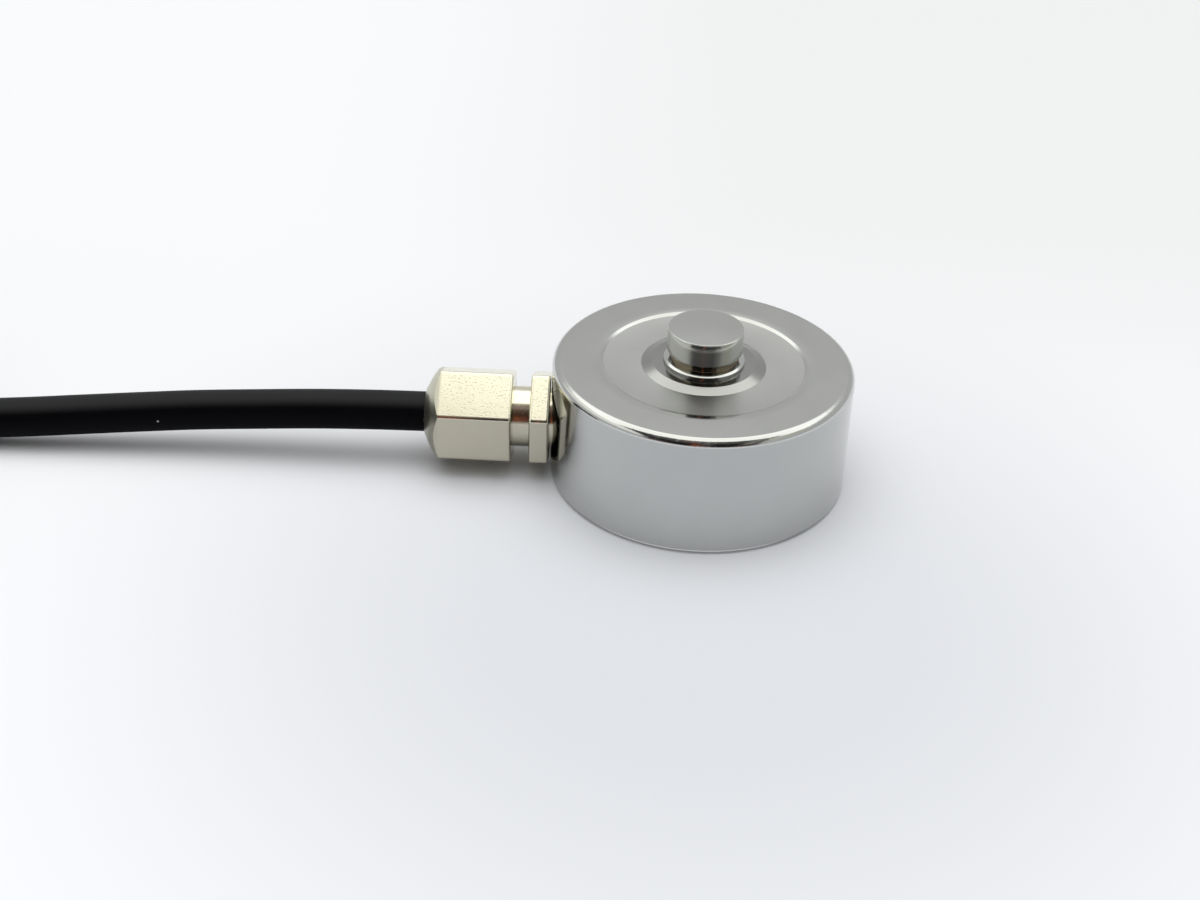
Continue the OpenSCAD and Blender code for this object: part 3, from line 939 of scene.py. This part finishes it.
tin = drawn_metal("tinned_copper", (0.5, 0.5, 0.49), (0.75, 0.75, 0.74), 0.22)
for phase, (colour, ((aside, up), length)) in enumerate(LEADS.items()):
    tone = WIRE_TONES.get(colour, WIRE_TONES["black"])
    whole = lead_line(aside, up, length, phase)
    bare_from = length - STRAND_L
    skin = [p for p in whole if p.x - BAY_X < bare_from]
    wire = [p for p in whole if p.x - BAY_X > bare_from - 2]
    finish = dusty_plastic(f"insulation_{colour}", tone, 0.35, 0.003, 0.0)
    cover = tube(f"insulation_{colour}", [p * MM for p in skin], mm(CORE_D), sides=16)
    core = tube(f"strands_{colour}", [p * MM for p in wire], mm(STRAND_D), sides=12)
    for piece, look, slot in ((cover, finish, f"core_{colour}"), (core, tin, "braid")):
        piece.data.materials.append(look)
        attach(piece, "root")
    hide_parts(f"lead_{colour}")

# %% [markdown]
# A twist tie is a flat plastic strip with a wire inside. It goes once round the hank and
# its two ends are twisted together. The strip starts as a box with its two open
# sides removed; solidify gives it a thickness and a bevel rounds it. The twisted ends
# are two long strips whose cross-sections turn more and more along their length.

# %% One twist tie
TIE_W, TIE_T, TIE_PLAY, TIE_CORNER, TIE_EDGE = 3.0, 0.4, 0.05, 1.1, 0.1
TWIST_W, TWIST_T, TWIST_L, TWIST_RISE, TWIST_ROOT = 1.35, 0.78, 12.0, 0.7, 1.0
STRIP_T, STRIP_ASIDE = 0.34, 0.22
HANK_BASE, HANK_TOP = TIE_T, TIE_T + LAYERS * PITCH - (PITCH - CABLE_D)
TIE_TOP = HANK_TOP + TIE_PLAY + TIE_T
NEAR_X, FAR_X = BAY_X - 6, HANK_X - RUN / 2


def tie_loop(x, side):
    """The strip round one run of the hank."""
    width = COLUMNS * PITCH - (PITCH - CABLE_D) + 2 * TIE_PLAY
    height = HANK_TOP - HANK_BASE + TIE_PLAY
    bm = bmesh.new()
    bmesh.ops.create_cube(bm, size=1.0)
    bmesh.ops.scale(bm, vec=mm(TIE_W, width, height), verts=bm.verts)
    open_sides = [face for face in bm.faces if abs(face.normal.x) > 0.9]
    bmesh.ops.delete(bm, geom=open_sides, context="FACES")
    corners = [edge for edge in bm.edges if not edge.is_boundary]
    bmesh.ops.bevel(bm, geom=corners, offset=mm(TIE_CORNER), segments=8, profile=0.5,
                    affect="EDGES", material=-1)
    bmesh.ops.recalc_face_normals(bm, faces=bm.faces)
    bmesh.ops.solidify(bm, geom=bm.faces[:], thickness=-mm(TIE_T * 0.85))
    bmesh.ops.recalc_face_normals(bm, faces=bm.faces)
    eased_edges(bm, TIE_EDGE, 60)
    centre = Vector((x, HANK_Y + side * MIDDLE_R, HANK_BASE + height / 2))
    bmesh.ops.translate(bm, vec=centre * MM, verts=bm.verts)
    return bm


def twist(x, side):
    """Two strips twisted together, lying along the hank."""
    start = mm(x + TIE_W / 2, HANK_Y + side * MIDDLE_R, TIE_TOP + TWIST_RISE)
    bm = bmesh.new()
    for half in (-1, 1):
        strip = bmesh.ops.create_grid(bm, x_segments=48, y_segments=4, size=0.5)["verts"]
        bmesh.ops.scale(bm, vec=mm(TWIST_L, TWIST_W, 1), verts=strip)
        bmesh.ops.translate(bm, vec=mm(TWIST_L / 2, 0, half * STRIP_ASIDE), verts=strip)
    for vert in bm.verts:
        turn = Matrix.Rotation(2 * math.tau * vert.co.x / mm(TWIST_L), 3, "X")
        vert.co = turn @ vert.co + start
    bmesh.ops.solidify(bm, geom=bm.faces[:], thickness=mm(STRIP_T))
    root = bmesh.ops.create_cube(bm, size=1.0)["verts"]
    tall = TWIST_RISE + TWIST_T / 2 + TIE_T / 2
    bmesh.ops.scale(bm, vec=mm(TWIST_ROOT, TWIST_W, tall), verts=root)
    middle = mm(-TWIST_ROOT / 2, 0, (TWIST_T - TWIST_RISE - TIE_T / 2) / 2)
    bmesh.ops.translate(bm, vec=start + middle, verts=root)
    bmesh.ops.recalc_face_normals(bm, faces=bm.faces)
    return bm


def tie(name, node, x, side):
    """The loop and the twisted ends of one tie."""
    loop = as_piece(tie_loop(x, side), f"{name}_loop", tie_finish, SOFT_SHARP)
    ends = as_piece(twist(x, side), f"{name}_ends", tie_finish, SOFT_SHARP)
    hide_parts(node)
    return [loop, ends]


ties = tie("tie_near", "hank_tie_near", NEAR_X, -1) + tie("tie_far", "hank_tie_far", FAR_X, 1)
print("tie pieces:", len(ties))

# %% [markdown]
# The jacket follows the whole path in one piece.

# %% The cable along its path
jacket = tube("cable_jacket", cable_path, mm(CABLE_D), sides=24)
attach(jacket, "root")
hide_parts("cable", "cable_hank")
jacket.data.materials.append(jacket_finish)
mm(-GLAND_END, 0, GLAND_Z)
mm(CABLE_D)

# %% [markdown]
# ## Floor and light
#
# The floor is a plain pale bench. The light is a bright soft ceiling, with the room
# grey behind the sensor and dark on the camera's side, because polished metal is
# only as interesting as the room it mirrors. All of that is one formula of the
# direction, so it sits in the world and no lamp is needed.

# %% Floor
FLOOR_HALF, FLOOR_DROP, SHORT_RAY = 2.0, 0.02, 0.4
SHADE_Y, SHADE_R, SHADE_END_R = -16, 8, 50
BENCH_SHADOW_TONE, LEFT_TONE = (0.74, 0.75, 0.775), (0.935, 0.94, 0.945)
FRONT_TONE, BACK_TONE = (0.96, 0.96, 0.975), (0.865, 0.865, 0.86)

bm = bmesh.new()
bmesh.ops.create_grid(bm, x_segments=2, y_segments=2, size=FLOOR_HALF)
bmesh.ops.translate(bm, vec=mm(0, 0, -FLOOR_DROP), verts=bm.verts)
floor = placed("floor", mesh_from(bm, "floor"))
print("floor", [round(v, 2) for v in floor.dimensions], "m")

# %% [markdown]
# A painted shadow makes the bench a shade darker in front of the sensor, and painted
# light makes its paler rest differ a little from side to side. Seen from below, the floor lets the
# view through to the underside, and so do the very short rays that leave the
# underside, which would otherwise stay black.

# %% Pale bench
paper = Finish("pale_floor", {"Roughness": 0.9, "Specular IOR Level": 0.1})
x, y, _ = paper.axes()
away = from_axis(x, y - mm(SHADE_Y))
# Painted light: the far bench is paler at the front and the left and greyer behind.
far = paper.mix(y.between(mm(-25), mm(45)), FRONT_TONE, BACK_TONE)
beside = (0 - x).between(mm(-10), mm(40)) * y.between(mm(-30), mm(40))
far = paper.mix(beside, far, LEFT_TONE)
# Painted shadow: a darker tone round the spot in front of the sensor.
paper.feed("Base Color", paper.mix(away.between(mm(SHADE_R), mm(SHADE_END_R)), BENCH_SHADOW_TONE, far))
behind = paper.node("ShaderNodeNewGeometry", out="Backfacing")
short = paper.node("ShaderNodeLightPath", out="Ray Length") < mm(SHORT_RAY)
behind = behind.math("MAXIMUM", behind, short)
clear = paper.node("ShaderNodeBsdfTransparent")
opaque = Term(paper.tree, paper.shader.outputs[0])
either = paper.node("ShaderNodeMixShader", None, {0: behind, 1: opaque, 2: clear})
output = paper.tree.nodes["Material Output"].inputs["Surface"]
paper.tree.links.new(either.socket, output)
floor.data.materials.append(paper.material)
print("nodes in the bench's finish:", len(paper.tree.nodes))

# %% [markdown]
# The room is a formula of the direction: how far to the side, how far towards the
# camera and how high. Behind the sensor stands a grey wall under a bright window. The
# camera's side is dark above the bench: brown at its flanks and black in between,
# with one thin ember of reddish light and a paler door. A pale panel stands at the
# left and a dimmer one at the right.

# %% Tones of the room
WALL_STOPS = [(0.0, (0.60, 0.60, 0.61)), (0.47, (0.59, 0.59, 0.58)),
              (0.57, (0.70, 0.70, 0.69)), (0.64, (1.0, 1.0, 1.0))]
WINDOW_LOW, WINDOW_HIGH = (1.7, 1.7, 1.64), (1.48, 1.47, 1.38)
BLACK_LOW, BLACK_HIGH = (0.012, 0.012, 0.012), (0.075, 0.075, 0.07)
EMBER, FLANK, DOOR = (0.5, 0.14, 0.055), (0.09, 0.055, 0.047), (0.45, 0.44, 0.4)
LEFT_PANEL, RIGHT_PANEL = (1.12, 1.12, 1.04), (0.62, 0.62, 0.53)
DIM, OVERHEAD, BACKDROP = (0.05, 0.05, 0.052), (3.2, 3.235, 3.26), (0.955, 0.96, 0.965)
OVERHEAD_FALL = 4.5
print("the window is", WINDOW_LOW[0], "times as bright as white paper")

# %% The room as a formula of direction
world = bpy.data.worlds.new("studio")
bpy.context.scene.world = world
world.use_nodes = True
room = Recipe(world.node_tree)
room.tree.nodes.clear()
way = room.node("ShaderNodeSeparateXYZ", None,
                {"Vector": room.node("ShaderNodeTexCoord", out="Generated")})
side, toward, height = way, 0 - way.other("Y"), way.other("Z")
leftward, off_middle = 0 - side, side.through("ABSOLUTE")

grey = room.node("ShaderNodeValToRGB", {"stops": WALL_STOPS}, {0: height})
window = room.mix(height.between(0.75, 0.94), WINDOW_LOW, WINDOW_HIGH)
bright = room.mix(height.between(0.59, 0.68), grey, window)

ember = leftward.band((0.02, 0.045), (0.09, 0.12)) * (1 - height.between(0.4, 0.5) * 0.7)
flank = off_middle.between(0.3, 0.45) * (1 - height.between(0.3, 0.5))
door = side.band((0.42, 0.47), (0.53, 0.58)) * height.between(0.35, 0.5)
brown = room.mix(height.between(0.6, 0.85), BLACK_LOW, BLACK_HIGH)
for share, tone in ((ember, EMBER), (flank, FLANK), (door * 0.6, DOOR)):
    brown = room.mix(share, brown, tone)

dark = (toward + off_middle * 0.25).between(0.18, 0.26) * height.between(0.06, 0.16)
dark = dark * (1 - off_middle.between(0.58, 0.68))
panels = height.band((0.36, 0.44), (0.66, 0.76))
left = leftward.between(0.58, 0.66) * panels
right = side.between(0.6, 0.68) * panels * toward.between(-0.1, 0.1)
walls = room.mix(dark, bright, brown)
walls = room.mix(left, walls, LEFT_PANEL)
walls = room.mix(right, walls, RIGHT_PANEL)
print("nodes in the room so far:", len(room.tree.nodes))

# %% [markdown]
# Only mirrored rays see that room. Matt surfaces are lit by a plain bright ceiling
# that fades towards the horizon, and the camera sees a plain white backdrop.

# %% Who sees what
ceiling = height.math("POWER", height.math("MAXIMUM", height, 0.0), OVERHEAD_FALL)
plain = room.mix(ceiling, DIM, OVERHEAD)
seen = room.node("ShaderNodeLightPath", out="Is Camera Ray")
sky = room.mix(seen.other("Is Glossy Ray"), plain, walls)
sky = room.mix(seen, sky, BACKDROP)
light = room.node("ShaderNodeBackground", None, {"Color": sky, "Strength": 1.0})
end = room.tree.nodes.new("ShaderNodeOutputWorld")
room.tree.links.new(light.socket, end.inputs["Surface"])
print("nodes in the room:", len(room.tree.nodes))
